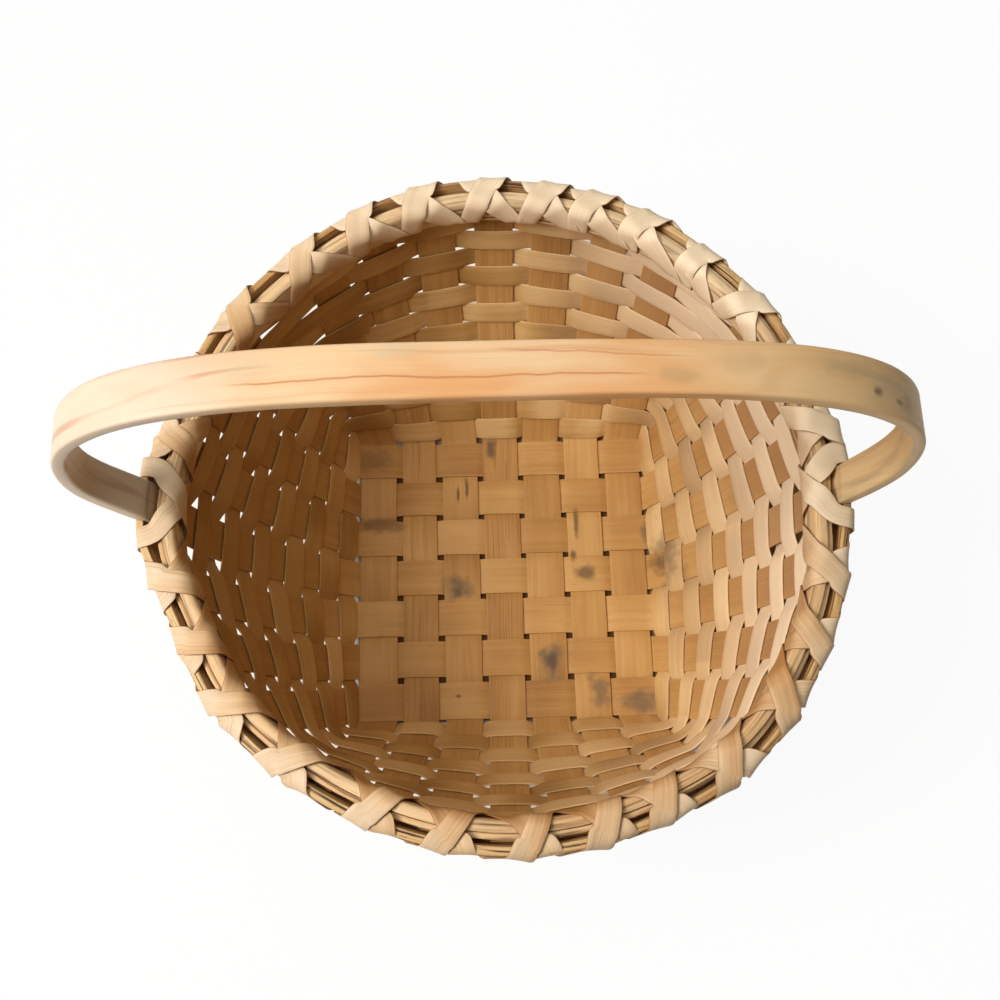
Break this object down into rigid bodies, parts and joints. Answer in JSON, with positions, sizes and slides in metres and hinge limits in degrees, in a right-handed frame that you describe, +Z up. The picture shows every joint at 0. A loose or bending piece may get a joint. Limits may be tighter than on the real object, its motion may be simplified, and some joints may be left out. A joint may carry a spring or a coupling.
{
  "type": "splint basket",
  "caption": "Round-rimmed plaited splint basket with a square bottom, a lashed double-hoop rim and one fixed bent-wood handle over the top.",
  "frame": {"origin": "middle of the underside of the bottom, under the crossing of the two middle strips, on the surface the basket stands on", "axes": "+Z up, +X from the left leg of the handle to the right leg, +Y from the front of the basket to the back"},
  "size_m": [0.3646, 0.3323, 0.279],
  "materials": {
    "handle_wood": "smooth, unvarnished",
    "rim_wood": "shaved, unvarnished",
    "lashing_splint": "silky, unvarnished",
    "stake_splint": "matte, unvarnished",
    "weaver_splint": "matte, unvarnished"
  },
  "bodies": {
    "root": {"handle": "handle_wood", "lashing_first": "lashing_splint", "lashing_second": "lashing_splint", "rim_hoop_inner": "rim_wood", "rim_hoop_outer": "rim_wood", "rim_strip_inner": "rim_wood", "stake_across_1": "stake_splint", "stake_across_2": "stake_splint", "stake_across_3": "stake_splint", "stake_across_4": "stake_splint", "stake_across_5": "stake_splint", "stake_across_6": "stake_splint", "stake_across_7": "stake_splint", "stake_deep_1": "stake_splint", "stake_deep_2": "stake_splint", "stake_deep_3": "stake_splint", "stake_deep_4": "stake_splint", "stake_deep_5": "stake_splint", "stake_deep_6": "stake_splint", "stake_deep_7": "stake_splint", "weaver_01": "weaver_splint", "weaver_02": "weaver_splint", "weaver_03": "weaver_splint", "weaver_04": "weaver_splint", "weaver_05": "weaver_splint", "weaver_06": "weaver_splint", "weaver_07": "weaver_splint", "weaver_08": "weaver_splint", "weaver_09": "weaver_splint", "weaver_10": "weaver_splint", "weaver_11": "weaver_splint", "weaver_12": "weaver_splint"}
  },
  "joints": []
}
